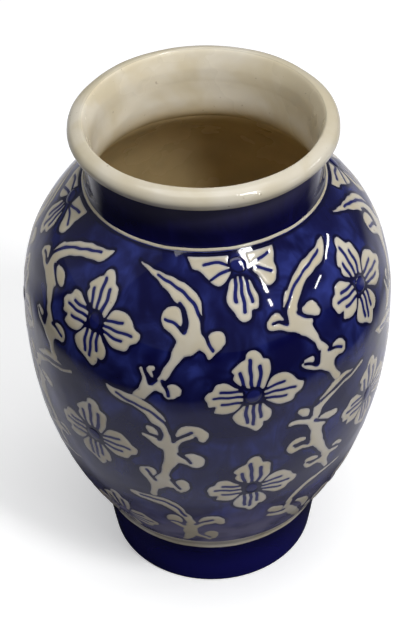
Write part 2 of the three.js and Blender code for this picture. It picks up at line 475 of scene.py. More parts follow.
LEFT_LAST = {
    "outlines": [
        [(-24, 5), (-18, 4), (-8, 4), (-2, 6), (3, 10.5), (5.5, 16), (8, 22), (3, 21.5), (0, 18), (-4, 14),
         (-10, 10.7), (-22, 8.3)],
    ],
    "strokes": [
        [(5, 20, 2.4), (7, 27, 2.6), (6.5, 32, 3.5), (6, 40, 4.6), (4.5, 47, 3.5), (1, 54, 2),
         (-1.5, 60, 1.5)],
        [(-2, 25, 4.6), (-1.9, 25.3, 4.6)],
        [(-3, 29, 2.4), (1.5, 33, 2), (5, 36, 2.4)],
        [(12.5, 25.5, 1.5), (16, 22.8, 2.6), (21, 23.5, 4), (23.5, 26.5, 2.6)],
        [(9, 33, 2), (14, 28.5, 1.5), (18, 26, 2.5)],
        [(18.5, 43, 4.6), (19, 49, 2.6)],
        [(8, 44, 2.6), (13, 48, 1.5), (17, 52, 1.6)],
    ],
    "cuts": [
        [(-18, 6.2, 0.5), (-8, 7.3, 0.5), (-2, 10, 0.55), (2, 14.5, 0.6), (4.6, 20, 0.8)],
        [(9.5, 29, 0.9), (13, 26.5, 0.6), (19, 23.7, 0.6)],
        [(-5, 28.3, 0.5), (-0.5, 28.6, 0.6), (3, 31.5, 0.8)],
        [(11.5, 41, 0.9), (14, 45.5, 0.6), (17, 49.3, 0.6)],
    ],
}

RIGHT_SHORT = {
    "outlines": [],
    "strokes": [
        [(27, 11.8, 0.4), (24.5, 13.5, 1.8), (20, 15.6, 3), (12, 17.2, 3.3), (4, 19.2, 3.4),
         (-2, 21.8, 3.3), (-6.5, 25.5, 3.4), (-9.8, 30, 3)],
        [(-9.4, 24.2, 1.3), (-12.2, 27, 0.9), (-13.9, 29.9, 0.3)],
        [(-9.8, 30, 3), (-10, 35, 3.2), (-7, 39, 4.5), (-4, 43, 3), (-2.3, 47, 2.2), (-0.8, 50, 1.4),
         (0.3, 53, 1.8), (2.2, 57, 2.6), (3.5, 61.5, 4.2), (4, 66, 2.6), (5.3, 70, 1.7), (7.8, 74, 2.2)],
        [(-22, 34.2, 1.7), (-18.8, 32.6, 2.1), (-16.3, 34.3, 1.1)],
        [(-22.5, 35.8, 1.4), (-18, 37, 1.4), (-12.5, 38.5, 2.3), (-7, 40, 3)],
        [(-3.5, 33.3, 1.3), (0.5, 34.8, 3.2), (3, 37, 2.2)],
        [(-5.5, 37, 2.5), (-1.5, 40, 1.2)],
        [(-8.3, 56.9, 0.9), (-5.3, 57.6, 1.7)],
        [(-9.8, 58.2, 0.8), (-6.5, 61, 1.2), (-1, 63, 2), (3, 65, 3)],
        [(8.8, 57.2, 1.8), (11.3, 58.3, 3), (12.2, 61, 2.2)],
        [(5, 61.5, 3), (10.5, 61.3, 1.6)],
    ],
    "cuts": [
        [(-20.8, 34.6, 0.5), (-18, 34.8, 0.55), (-15.5, 36.3, 0.7), (-13.8, 36.8, 0.8)],
        [(-7, 33.8, 0.9), (-3, 36.8, 0.65), (1.5, 39.8, 0.6)],
        [(-8.8, 58.2, 0.5), (-5, 59.8, 0.6), (-2.5, 61.5, 0.8), (-1.3, 59, 0.9), (-1, 56, 0.9)],
        [(5, 57.5, 0.8), (8.5, 58.4, 0.6), (12, 60, 0.6)],
        [(19.5, 14.6, 0.5), (8, 18, 0.5), (0, 20.5, 0.5), (-6, 23.5, 0.55), (-10, 27, 0.6),
         (-13, 30.5, 0.8), (-13.8, 34, 0.9), (-13.8, 36.5, 0.8)],
    ],
}

RIGHT_LONG = {
    "outlines": [],
    "strokes": [
        [(3.5, 11.8, 1.3), (8, 9.2, 1.8), (14, 8.1, 1.2), (19, 8.4, 0.4)],
        [(25.5, 8.5, 0.9), (18, 11.3, 0.8), (10, 13, 0.9), (4, 15.5, 1.4), (-1, 18.5, 2), (-3, 22, 2.2)],
        [(3.5, 11.8, 1.3), (-0.5, 14.5, 1.4), (-3, 18, 1.6), (-3, 22, 2.2)],
        [(-2.5, 20, 2), (-3.8, 25, 2), (-2.3, 30, 3.4), (-2.2, 36, 3.2), (-0.5, 41, 3.2), (2.5, 47, 2.2),
         (4.8, 52, 2), (6.5, 57, 3), (7.3, 61, 1.9), (9.8, 67, 1.5)],
        [(-11.5, 17.2, 1.7), (-9.3, 18.5, 2.3), (-8, 20.5, 1.2)],
        [(-16, 22.4, 1.3), (-11, 23.4, 1.4), (-6, 26, 2), (-4, 29, 2.5)],
        [(0.5, 26, 1.2), (4, 27, 2.2), (8, 27.8, 2)],
        [(-2, 29, 2.5), (1.8, 30.8, 1)],
        [(-9, 35.8, 1.2), (-13, 35.2, 1.9), (-15.5, 38, 2), (-14, 41, 1.7), (-9, 40.8, 1.3),
         (-4, 40.5, 2.5)],
        [(-5, 53, 1.6), (-2, 52.8, 1.7), (0.4, 54, 1)],
        [(-6, 55.5, 1.2), (-3.5, 58, 1.4), (2, 58, 1.5), (5.5, 59, 2.5)],
        [(11, 52.4, 1), (14, 52.3, 1.4), (16.5, 54.3, 1.2)],
        [(7, 56, 2), (12, 56.6, 1.2), (14.5, 57, 1)],
    ],
    "cuts": [
        [(19, 9, 0.5), (12, 11.2, 0.5), (5, 13.3, 0.5), (0, 14.8, 0.6), (-4, 16.5, 0.9)],
        [(-13.5, 20.3, 0.5), (-10, 21.5, 0.6), (-6.5, 23, 0.8)],
        [(-7.5, 15, 0.8), (-5.8, 18.5, 0.8), (-5.6, 22, 0.8)],
        [(-3, 26, 0.8), (0, 28, 0.6), (3.5, 30, 0.6)],
        [(-13.8, 37.4, 0.5), (-9.5, 38.6, 0.6), (-6.3, 39.6, 0.8)],
        [(-5, 54.9, 0.5), (0, 55.6, 0.6), (3.2, 55.5, 0.8)],
    ],
}

RIGHT_LAST = {
    "outlines": [],
    "strokes": [
        [(20, 3.5, 0.5), (13, 5, 1.6), (5, 6.8, 2.2), (-2, 10, 2.4), (-7.5, 15, 2.2), (-10, 20, 1.6)],
        [(-19, 22.5, 3), (-16, 24.5, 3.6), (-14.5, 27.5, 2.6)],
        [(-20.5, 28.5, 1.4), (-15, 31, 1.8), (-9, 32.5, 2.4)],
        [(-9, 20, 1.6), (-9.5, 27, 2.4), (-5.5, 33, 3.2), (0, 40, 3), (6, 48, 2.6), (10, 55, 2)],
        [(-3, 24, 1.4), (1, 26.5, 2.4), (4.5, 31, 2.8), (6.5, 37, 1.8)],
        [(12, 40, 2.8), (14, 44, 2.4), (12.5, 48.5, 1.4)],
    ],
    "cuts": [
        [(15, 5.5, 0.5), (5, 8.4, 0.5), (-2.5, 12.6, 0.6), (-7, 18.5, 0.8)],
        [(-19.5, 26, 0.5), (-14.5, 28.6, 0.6), (-11, 28.5, 0.8)],
        [(-4, 27.5, 0.8), (0.5, 32, 0.7), (4, 38.5, 0.7)],
    ],
}

TOP_FLOWER = {
    "outlines": [
        [(-22, -8), (-22, -4.2), (-19.9, -0.2), (-16.6, 1.2), (-12.8, 5.1), (-9, 8.4), (-5.7, 6.5),
         (-3.4, 2.2), (-4.2, -0.9), (-4.2, -8)],
        [(-3.5, 6), (-5.3, 9.6), (-6.3, 14.2), (-6, 17.4), (-4.2, 20.2), (-3.1, 23), (-1.4, 24.3),
         (1.1, 23.6), (2.3, 20), (4.4, 19.8), (5.4, 17.8), (5.7, 14), (5.2, 10.8), (3.5, 6.4), (0.6, 4.8)],
        [(6.5, -8), (17.8, -8), (17.9, -0.8), (16.2, 3), (16.2, 6.6), (14.9, 10.4), (12.4, 11.8),
         (10.2, 10.9), (8.4, 7.4), (6, 3.4), (4.7, -0.8)],
    ],
    "strokes": [],
    "cuts": [
        [(-14.9, -1.3, 0.5), (-9.9, -2.1, 0.5), (-4.3, -0.3, 0.5)],
        [(-11.8, 5.1, 0.5), (-8, 3.1, 0.5), (-3, 1.3, 0.5)],
        [(-1.5, 4, 0.55), (-2.1, 9, 0.55), (-3.1, 15.7, 0.55)],
        [(0.5, 4, 0.5), (0, 13, 0.5), (-0.4, 20.1, 0.55)],
        [(2.3, 4, 0.5), (2.9, 11, 0.5), (3.1, 16.5, 0.5)],
        [(5, 1, 0.5), (9.6, -0.1, 0.5), (14.8, -1.5, 0.5)],
        [(5.5, 2, 0.5), (9.4, 3.3, 0.5), (13.8, 6.4, 0.5)],
    ],
}

# Where each shape goes: degrees round from the front, and millimetres down from the neck line.
# A flower also has a width and a height, because it keeps its size where the wall draws in.
FLOWER_ROWS = (
    (
        (12.5, 103.0, 192.0, 277.0),
        ((TOP_FLOWER, 7.3, 1.38, 1.0), (FLOWER, 67.4, 1.0, 1.0), (FLOWER, 128.8, 1.0, 1.02)),
    ),
    (
        (-38.2, 57.9, 148.0, 235.0),
        ((FLOWER, 40.0, 1.03, 1.05), (FLOWER, 104.2, 0.97, 1.0), (FLOWER, 171.0, 1.0, 1.0)),
    ),
)
FLOWERS = [(row[0], angle, *row[1:]) for angles, rows in FLOWER_ROWS for angle in angles for row in rows]
SPRAYS = [
    (shape, angle, drop)
    for angles, rows in (
        ((-13.0, 81.0, 171.0, 257.0), ((LEFT_SHORT, 0.0), (LEFT_LONG, 68.0), (LEFT_LAST, 134.0))),
        ((35.0, 126.0, 213.0), ((RIGHT_SHORT, 0.0), (RIGHT_LONG, 68.0), (RIGHT_LAST, 134.0))),
        ((-58.5,), ((RIGHT_SHORT, -3.2),)),
        ((-63.0,), ((RIGHT_LONG, 64.0), (RIGHT_LAST, 130.0))),
    )
    for angle in angles
    for shape, drop in rows
]
FOOT_BAND = 8.8  # cream above the foot, along the wall
FOOT_INK = 8.0  # ink above that band
VEIN_EXTRA = 0.16  # brush a little wider than a vein's own line, because the cream runs in from its sides
VINE_GAP = 0.9  # ground left between a vine and a flower
TOP_GAP = 2.8  # from the neck line to where painted shapes are cut off
BOTTOM_GAP = FOOT_BAND + 2.4  # from where they are cut off to the foot


def stroke_depth(chain, u, v):
    """How deep each point lies in a brush stroke: positive inside it, in millimetres."""
    path = smooth_outline(chain, closed=False, steps=3)
    depth = np.full(u.shape, FAR)
    for (ax, ay, aw), (bx, by, bw) in zip(path[:-1], path[1:]):
        run_x, run_y = bx - ax, by - ay
        t = np.clip(((u - ax) * run_x + (v - ay) * run_y) / (run_x**2 + run_y**2), 0, 1)
        away = np.hypot(u - ax - t * run_x, v - ay - t * run_y)
        depth = np.maximum(depth, aw + t * (bw - aw) - away)
    return depth


def outline_depth(corners, u, v):
    """How deep each point lies inside a closed outline."""
    path = smooth_outline(corners, closed=True, steps=3)
    away = np.full(u.shape, -FAR)
    inside = np.zeros(u.shape, bool)
    for (ax, ay), (bx, by) in zip(path, np.roll(path, -1, axis=0)):
        run_x, run_y = bx - ax, by - ay
        t = np.clip(((u - ax) * run_x + (v - ay) * run_y) / (run_x**2 + run_y**2), 0, 1)
        away = np.minimum(away, np.hypot(u - ax - t * run_x, v - ay - t * run_y))
        if ay != by:
            crossing = (ay > v) != (by > v)
            inside ^= crossing & (u < ax + (v - ay) * run_x / run_y)
    return np.where(inside, away, -away)


def soft_union(a, b, blend=1.1):
    """The deeper of two depths, with a fillet where they meet."""
    near = np.clip(blend - np.abs(a - b), 0, None) / blend
    return np.maximum(a, b) + near**2 * blend / 4


def shape_depth(shape, u, v):
    """How deep each point lies in a painted shape, with its veins cut out and without."""
    depth = np.full(u.shape, FAR)
    for corners in shape["outlines"]:
        depth = np.maximum(depth, outline_depth(corners, u, v))
    for chain in shape["strokes"]:
        depth = soft_union(depth, stroke_depth(chain, u, v))
    whole = depth
    for chain in shape["cuts"]:
        depth = np.minimum(depth, -VEIN_EXTRA - stroke_depth(chain, u, v))
    return depth, whole


def shaky(u, v, rng):
    """The same points as a hand that isn't quite steady draws them."""
    turn = math.radians(rng.uniform(-2.0, 2.0))
    a, b, c, d = rng.uniform(0, 2 * math.pi, 4)
    shift_u = 0.22 * np.sin(v * 0.31 + a) + 0.16 * np.sin(v * 0.83 + u * 0.2 + b)
    shift_v = 0.22 * np.sin(u * 0.29 + c) + 0.16 * np.sin(u * 0.77 + v * 0.2 + d)
    centre = v.mean()
    turned_u = u * math.cos(turn) - (v - centre) * math.sin(turn)
    turned_v = u * math.sin(turn) + (v - centre) * math.cos(turn) + centre
    return turned_u + shift_u, turned_v + shift_v


COLUMNS_FLAT = round(2 * HALF_ROUND / PITCH)
ROWS_FLAT = int(WALL_LENGTH / PITCH) + 1
FLAT_ACROSS = np.arange(COLUMNS_FLAT) * PITCH - HALF_ROUND
FLAT_DOWN = np.linspace(0.0, WALL_LENGTH, ROWS_FLAT)


def stamp(depth, whole, shape, angle, drop, seed, width=1.0, height=1.0):
    """Draws one copy of a shape on the flat wall."""
    rng = np.random.default_rng(seed)
    corners = [corner for group in shape.values() for part in group for corner in part]
    widths = [abs(corner[0]) for corner in corners]
    downs = [corner[1] for corner in corners]
    across = (FLAT_ACROSS - angle * ROUND_PER_DEGREE + HALF_ROUND) % (2 * HALF_ROUND) - HALF_ROUND
    across = across / width
    down = (FLAT_DOWN - drop) / height
    columns = np.flatnonzero(np.abs(across) < max(widths) + 9)
    rows = np.flatnonzero((down > min(downs) - 9) & (down < max(downs) + 9))
    if len(rows) == 0:
        return
    u, v = np.meshgrid(across[columns], down[rows])
    u, v = shaky(u, v, rng)
    window = np.ix_(rows, columns)
    veined, plain = shape_depth(shape, u, v)
    depth[window] = np.maximum(depth[window], veined)
    whole[window] = np.maximum(whole[window], plain)


@functools.lru_cache(maxsize=None)
def painted_depths():
    """Depth of every point of the flat wall in the flowers, in the vines, and in any shape with no veins."""
    flowers = np.full((ROWS_FLAT, COLUMNS_FLAT), FAR)
    vines, whole = flowers.copy(), flowers.copy()
    seed = bpy.context.scene.vase_surface.seed * 1000
    for shape, angle, drop, width, height in FLOWERS:
        seed += 1
        stamp(flowers, whole, shape, angle, drop, seed, width, height)
    for shape, angle, drop in SPRAYS:
        seed += 1
        stamp(vines, whole, shape, angle, drop, seed)
    down = FLAT_DOWN[:, None]
    cut_off = np.minimum(down - TOP_GAP, WALL_LENGTH - BOTTOM_GAP - down)
    flowers = np.minimum(flowers, cut_off)
    vines = np.minimum(np.minimum(vines, cut_off), -flowers - VINE_GAP)
    return flowers, vines, np.minimum(whole, cut_off)


def flat_to_mesh(depth):
    """The part of the flat wall where depth is positive, as triangles cut along its edge.

    Returns places across and down, depth at each place, and the triangles. A place that lies close to
    the edge is moved on to it, so that no sliver is left.
    """
    depth = depth.copy()
    reach = 0.3 * PITCH
    slope_down, slope_across = np.gradient(np.pad(depth, ((0, 0), (1, 1)), mode="wrap"), FLAT_DOWN, PITCH)
    slope_down, slope_across = slope_down[:, 1:-1], slope_across[:, 1:-1]
    steepness = np.maximum(slope_down**2 + slope_across**2, 0.2)
    close = np.abs(depth) < reach
    step = np.where(close, depth, 0) / steepness
    across = FLAT_ACROSS[None, :] - np.clip(step * slope_across, -reach, reach)
    inner_rows = (FLAT_DOWN > 0) & (FLAT_DOWN < WALL_LENGTH)
    down = FLAT_DOWN[:, None] - np.clip(step * slope_down, -reach, reach) * inner_rows[:, None]
    depth[close] = 0.0

    index = np.arange(ROWS_FLAT * COLUMNS_FLAT).reshape(ROWS_FLAT, COLUMNS_FLAT)
    right = np.roll(index, -1, axis=1)
    a, b, c, d = index[:-1], right[:-1], right[1:], index[1:]
    even = ((np.arange(ROWS_FLAT - 1)[:, None] + np.arange(COLUMNS_FLAT)[None, :]) % 2 == 0)[..., None, None]
    one_way = np.stack([np.stack([a, d, c], -1), np.stack([a, c, b], -1)], -2)
    other_way = np.stack([np.stack([a, d, b], -1), np.stack([b, d, c], -1)], -2)
    triangles = np.where(even, one_way, other_way).reshape(-1, 3)

    flat_depth = depth.ravel()
    signs = np.sign(flat_depth)[triangles]
    inside, outside = (signs > 0).sum(1), (signs < 0).sum(1)
    whole = triangles[(outside == 0) & (inside > 0)]

    def turned_to_front(chosen, sign):
        """The chosen triangles, each turned so that its one corner of that sign comes first."""
        first = np.argmax(signs[chosen] == sign, axis=1)
        order = (first[:, None] + np.arange(3)) % 3
        return np.take_along_axis(triangles[chosen], order, axis=1)

    tip = turned_to_front((inside == 1) & (outside == 2), 1)
    blunt = turned_to_front((inside == 2) & (outside == 1), -1)
    split = turned_to_front((inside == 1) & (outside == 1), 1)
    low_next = flat_depth[split[:, 1]] < 0
    split_next, split_last = split[low_next], split[~low_next]

    ends = np.concatenate([
        tip[:, [0, 1]], tip[:, [0, 2]], blunt[:, [0, 1]], blunt[:, [0, 2]], split_next[:, [0, 1]],
        split_last[:, [0, 2]],
    ])
    ends = np.sort(ends, axis=1)
    codes, place = np.unique(ends[:, 0].astype(np.int64) * index.size + ends[:, 1], return_inverse=True)
    place = place.ravel() + index.size
    low_end, high_end = codes // index.size, codes % index.size
    share = flat_depth[low_end] / (flat_depth[low_end] - flat_depth[high_end])
    flat_across, flat_down = across.ravel(), down.ravel()
    gap = (flat_across[high_end] - flat_across[low_end] + HALF_ROUND) % (2 * HALF_ROUND) - HALF_ROUND
    all_across = np.concatenate([flat_across, flat_across[low_end] + share * gap])
    cut_down = flat_down[low_end] + share * (flat_down[high_end] - flat_down[low_end])
    all_down = np.concatenate([flat_down, cut_down])
    all_depth = np.concatenate([flat_depth, np.zeros(len(codes))])

    counts = [len(tip), len(tip), len(blunt), len(blunt), len(split_next), len(split_last)]
    tip_b, tip_c, blunt_b, blunt_c, next_cut, last_cut = np.split(place, np.cumsum(counts)[:-1])
    faces = np.concatenate([
        whole,
        np.stack([tip[:, 0], tip_b, tip_c], 1),
        np.stack([blunt_b, blunt[:, 1], blunt[:, 2]], 1),
        np.stack([blunt_b, blunt[:, 2], blunt_c], 1),
        np.stack([split_next[:, 0], next_cut, split_next[:, 2]], 1),
        np.stack([split_last[:, 0], split_last[:, 1], last_cut], 1),
    ])
    used, faces = np.unique(faces, return_inverse=True)
    return all_across[used], all_down[used], all_depth[used], faces.reshape(-1, 3)


def ease(value):
    """Nought to one with soft ends."""
    value = np.clip(value, 0, 1)
    return value * value * (3 - 2 * value)


def mesh_piece(name, points, faces, attributes, normals=None):
    """A piece from places in millimetres. Each attribute is a value at every place."""
    start_clean(name)
    mesh = bpy.data.meshes.new(name)
    mesh.vertices.add(len(points))
    mesh.vertices.foreach_set("co", (points * MM).ravel())
    mesh.loops.add(len(faces) * 3)
    mesh.loops.foreach_set("vertex_index", faces.ravel().astype(np.int32))
    mesh.polygons.add(len(faces))
    mesh.polygons.foreach_set("loop_start", np.arange(0, len(faces) * 3, 3, dtype=np.int32))
    mesh.polygons.foreach_set("use_smooth", np.ones(len(faces), bool))
    mesh.update(calc_edges=True)
    mesh.validate()
    for key, values in attributes.items():
        mesh.attributes.new(key, "FLOAT", "POINT").data.foreach_set("value", values.astype(np.float32))
    if normals is not None:
        mesh.normals_split_custom_set_from_vertices(normals.tolist())
    piece = bpy.data.objects.new(name, mesh)
    bpy.context.scene.collection.objects.link(piece)
    return piece


def cream_shape(name, depth):
    """Painted cream with a soft raised edge, from its depth on the flat wall."""
    relief = bpy.context.scene.vase_surface.paint_relief / MM
    across, down, inside, faces = flat_to_mesh(depth)
    points, normals = on_wall(across, down)
    points, turned = waved(points, normals)
    points = points + turned * (relief * ease((inside + 0.15) / 1.3))[:, None]
    return mesh_piece(name, points, faces, {"bleed": 1 - ease(inside / 0.9)})


# ---------------------------------------------------------------- glazes


def new_group(name, inputs, outputs):
    """An empty shader node group with named sockets, and its ends."""
    old = bpy.data.node_groups.get(name)
    if old is not None:
        return old, None, None
    group = bpy.data.node_groups.new(name, "ShaderNodeTree")
    for socket_name, kind, default in inputs:
        socket = group.interface.new_socket(name=socket_name, in_out="INPUT", socket_type=kind)
        if default is not None:
            socket.default_value = default
    for socket_name, kind in outputs:
        group.interface.new_socket(name=socket_name, in_out="OUTPUT", socket_type=kind)
    return group, group.nodes.new("NodeGroupInput"), group.nodes.new("NodeGroupOutput")


def add_noise(tree, coordinates, scale, detail=2.0, distortion=0.0, stretch=None):
    """A noise texture on the given coordinates, stretched along the axes if asked."""
    if stretch is not None:
        mapping = tree.nodes.new("ShaderNodeMapping")
        mapping.inputs["Scale"].default_value = stretch
        tree.links.new(coordinates, mapping.inputs["Vector"])
        coordinates = mapping.outputs["Vector"]
    noise = tree.nodes.new("ShaderNodeTexNoise")
    noise.inputs["Scale"].default_value = scale
    noise.inputs["Detail"].default_value = detail
    noise.inputs["Distortion"].default_value = distortion
    tree.links.new(coordinates, noise.inputs["Vector"])
    return noise.outputs["Fac"]


def add_range(tree, value, low, high, to_low=0.0, to_high=1.0, smooth=True):
    """A value moved from one range to another, held at the ends."""
    node = tree.nodes.new("ShaderNodeMapRange")
    node.interpolation_type = "SMOOTHSTEP" if smooth else "LINEAR"
    node.inputs["From Min"].default_value = low
    node.inputs["From Max"].default_value = high
    node.inputs["To Min"].default_value = to_low
    node.inputs["To Max"].default_value = to_high
    tree.links.new(value, node.inputs["Value"])
    return node.outputs["Result"]


def add_axis(tree, where, axis):
    """One coordinate of a place."""
    apart = tree.nodes.new("ShaderNodeSeparateXYZ")
    tree.links.new(where, apart.inputs["Vector"])
    return apart.outputs[axis]


def add_math(tree, operation, first, second):
    """A sum of two values, each a socket or a plain number."""
    node = tree.nodes.new("ShaderNodeMath")
    node.operation = operation
    for socket, value in zip(node.inputs, (first, second)):
        if isinstance(value, (int, float)):
            socket.default_value = value
        else:
            tree.links.new(value, socket)
    return node.outputs["Value"]


def add_mix(tree, factor, first, second):
    """A mix of two colours, each a socket or a plain colour."""
    node = tree.nodes.new("ShaderNodeMix")
    node.data_type = "RGBA"
    tree.links.new(factor, node.inputs["Factor"])
    for name, value in (("A", first), ("B", second)):
        socket = next(s for s in node.inputs if s.type == "RGBA" and s.name == name)
        if isinstance(value, bpy.types.NodeSocket):
            tree.links.new(value, socket)
        else:
            socket.default_value = (*value[:3], 1.0)
    return next(s for s in node.outputs if s.type == "RGBA")


def cobalt_wash_group():
    """Watery brushwork: patches of thick and thin wash, darkened by ink."""
    group, start, end = new_group(
        "cobalt wash",
        [("Coordinates", "NodeSocketVector", None), ("Ink", "NodeSocketFloat", 0.0),
         ("Deep", "NodeSocketColor", (0.01, 0.01, 0.06, 1)),
         ("Bright", "NodeSocketColor", (0.03, 0.04, 0.25, 1)),
         ("Outline", "NodeSocketColor", (0.01, 0.01, 0.03, 1))],
        [("Color", "NodeSocketColor"), ("Thickness", "NodeSocketFloat")],
    )
    if start is None:
        return group
    where = start.outputs["Coordinates"]
    patches = add_range(group, add_noise(group, where, 42, 2.0, 0.7), 0.36, 0.66)
    streaks = add_range(group, add_noise(group, where, 95, 3.0, 1.4, (1.0, 1.0, 0.45)), 0.35, 0.7)
    blots = add_range(group, add_noise(group, where, 28, 1.0, 0.5), 0.53, 0.68)
    streaked = add_math(group, "ADD", 0.35, add_math(group, "MULTIPLY", streaks, 0.65))
    unblotted = add_math(group, "SUBTRACT", 1.0, add_math(group, "MULTIPLY", blots, 0.8))
    thin = add_math(group, "MULTIPLY", add_math(group, "MULTIPLY", patches, streaked), unblotted)
    ground = add_mix(group, thin, start.outputs["Deep"], start.outputs["Bright"])
    colour = add_mix(group, start.outputs["Ink"], ground, start.outputs["Outline"])
    group.links.new(colour, end.inputs["Color"])
    group.links.new(add_math(group, "SUBTRACT", 1.0, thin), end.inputs["Thickness"])
    return group


def glaze_skin_group():
    """The faint orange peel, pinholes and rub of a fired glaze, as a roughness and a height."""
    group, start, end = new_group(
        "glaze skin",
        [("Coordinates", "NodeSocketVector", None), ("Gloss", "NodeSocketFloat", 0.08),
         ("Rub", "NodeSocketFloat", 0.05)],
        [("Roughness", "NodeSocketFloat"), ("Height", "NodeSocketFloat")],
    )
    if start is None:
        return group
    where = start.outputs["Coordinates"]
    peel = add_noise(group, where, 260, 2.0)
    rub = add_range(group, add_noise(group, where, 34, 3.0), 0.4, 0.75)
    pinholes = add_range(group, add_noise(group, where, 520, 1.0), 0.74, 0.8)
    rubbed = add_math(group, "MULTIPLY", rub, start.outputs["Rub"])
    group.links.new(add_math(group, "ADD", start.outputs["Gloss"], rubbed), end.inputs["Roughness"])
    height = add_math(group, "SUBTRACT", add_math(group, "MULTIPLY", peel, 0.5), pinholes)
    group.links.new(height, end.inputs["Height"])
    return group


def new_glaze(name, gloss, rub, bump, ior=1.5):
    """A material with the glaze skin, its object coordinates, and the shader."""
    old = bpy.data.materials.get(name)
    if old is not None:
        bpy.data.materials.remove(old)
    material = bpy.data.materials.new(name)
    material.use_nodes = True
    tree = material.node_tree
    shader = tree.nodes["Principled BSDF"]
    shader.inputs["IOR"].default_value = ior
    where = tree.nodes.new("ShaderNodeTexCoord").outputs["Object"]
    skin = tree.nodes.new("ShaderNodeGroup")
    skin.node_tree = glaze_skin_group()
    skin.inputs["Gloss"].default_value = gloss
    skin.inputs["Rub"].default_value = rub
    tree.links.new(where, skin.inputs["Coordinates"])
    tree.links.new(skin.outputs["Roughness"], shader.inputs["Roughness"])
    relief = tree.nodes.new("ShaderNodeBump")
    relief.inputs["Distance"].default_value = bump
    relief.inputs["Strength"].default_value = 1.0
    tree.links.new(skin.outputs["Height"], relief.inputs["Height"])
    tree.links.new(relief.outputs["Normal"], shader.inputs["Normal"])
    return material, tree, shader, where


def add_attribute(tree, name):
    """A value that the piece carries at every place."""
    node = tree.nodes.new("ShaderNodeAttribute")
    node.attribute_name = name
    return node.outputs["Fac"]


def add_wash(tree, where, ink, deep, bright, outline):
    """The cobalt wash with its colours set, and its colour output."""
    wash = tree.nodes.new("ShaderNodeGroup")
    wash.node_tree = cobalt_wash_group()
    tree.links.new(where, wash.inputs["Coordinates"])
    for name, colour in (("Deep", deep), ("Bright", bright), ("Outline", outline)):
        wash.inputs[name].default_value = (*colour[:3], 1.0)
    if ink is not None:
        tree.links.new(ink, wash.inputs["Ink"])
    return wash.outputs["Color"]


def cobalt_glaze():
    """Cobalt ground with its ink and veins, lighter and greyer low on the belly."""
    glazes = bpy.context.scene.vase_glazes
    material, tree, shader, where = new_glaze("painted_cobalt", 0.03, 0.04, 0.00001)
    ink = add_attribute(tree, "ink")
    colour = add_wash(tree, where, ink, glazes.cobalt_deep, glazes.cobalt_bright, glazes.outline)
    colour = add_mix(tree, add_attribute(tree, "vein"), colour, glazes.vein)
    # Lighter and greyer towards the bottom of the belly.
    low = add_range(tree, add_axis(tree, where, "Z"), 96 * MM, 44 * MM, 0.0, 0.75)
    patchy = add_range(tree, add_noise(tree, where, 60, 2.0), 0.3, 0.6, 0.5, 1.0)
    colour = add_mix(tree, add_math(tree, "MULTIPLY", low, patchy), colour, glazes.milky_and_sheen)
    tree.links.new(colour, shader.inputs["Base Color"])
    return material


def navy_glaze():
    """Navy of the neck and foot, with painted light low on the foot and a painted sheen under the lip."""
    glazes = bpy.context.scene.vase_glazes
    material, tree, shader, where = new_glaze("painted_navy", 0.03, 0.04, 0.00001, ior=1.4)
    brighter = [channel * 2.2 for channel in glazes.navy]
    colour = add_wash(tree, where, None, glazes.navy, brighter, glazes.navy)
    height = add_axis(tree, where, "Z")
    # Painted light: the foot turns a brighter blue towards its bottom, in place of light that the belly keeps
    # from it.
    painted_light_low = add_range(tree, height, (FOOT_TOP + 3) * MM, 8 * MM)
    colour = add_mix(tree, painted_light_low, colour, glazes.foot)
    # Painted sheen: the neck greys towards the lip, standing in for a reflection.
    painted_sheen = add_range(tree, height, (NECK_LINE + 6) * MM, (LIP_BASE - 1) * MM, 0.0, 0.17)
    colour = add_mix(tree, painted_sheen, colour, glazes.milky_and_sheen)
    tree.links.new(colour, shader.inputs["Base Color"])
    return material


def add_cream(tree, where, cream):
    """Cream with soft warm and grey patches and a few iron specks."""
    warm = (cream[0] * 0.93, cream[1] * 0.89, cream[2] * 0.8)
    pale = (min(1, cream[0] * 1.05), min(1, cream[1] * 1.05), min(1, cream[2] * 1.08))
    patches = add_range(tree, add_noise(tree, where, 38, 3.0, 0.4), 0.35, 0.68)
    colour = add_mix(tree, patches, warm, pale)
    specks = add_range(tree, add_noise(tree, where, 430, 1.0), 0.755, 0.8, 0.0, 0.35)
    return add_mix(tree, specks, colour, (0.25, 0.17, 0.09))


def cream_glaze():
    """Cream of the lip, the bands and the painted shapes, with the blue run in at a shape's edge."""
    glazes = bpy.context.scene.vase_glazes
    material, tree, shader, where = new_glaze("painted_cream", 0.08, 0.1, 0.00001, ior=1.43)
    colour = add_cream(tree, where, glazes.cream)
    bleed = add_math(tree, "MULTIPLY", add_attribute(tree, "bleed"), 0.55)
    colour = add_mix(tree, bleed, colour, (0.16, 0.18, 0.3))
    tree.links.new(colour, shader.inputs["Base Color"])
    return material


def inner_glaze():
    """Pale cream at the neck, brightened as painted light, running into a darker tone inside the belly that
    is painted shade.
    """
    glazes = bpy.context.scene.vase_glazes
    material, tree, shader, where = new_glaze("belly_glaze", 0.22, 0.15, 0.00003)
    uneven = add_math(tree, "MULTIPLY", add_noise(tree, where, 30, 2.0), 4 * MM)
    height = add_math(tree, "ADD", add_axis(tree, where, "Z"), uneven)
    # Painted light and painted shade: the cream inside the neck is a brightened copy of the lip's cream, and
    # below the neck line the inside turns darker, painted shade where the belly falls into shadow.
    upper = add_range(tree, height, (NECK_LINE - 5) * MM, (NECK_LINE + 11) * MM)
    patches = add_noise(tree, where, 45, 3.0)
    shaded_brown = add_mix(tree, patches, [c * 0.7 for c in glazes.inner], [c * 1.2 for c in glazes.inner])
    pale = [min(1, c * 1.3) for c in glazes.cream]
    colour = add_mix(tree, upper, shaded_brown, add_cream(tree, where, pale))
    tree.links.new(colour, shader.inputs["Base Color"])
    return material


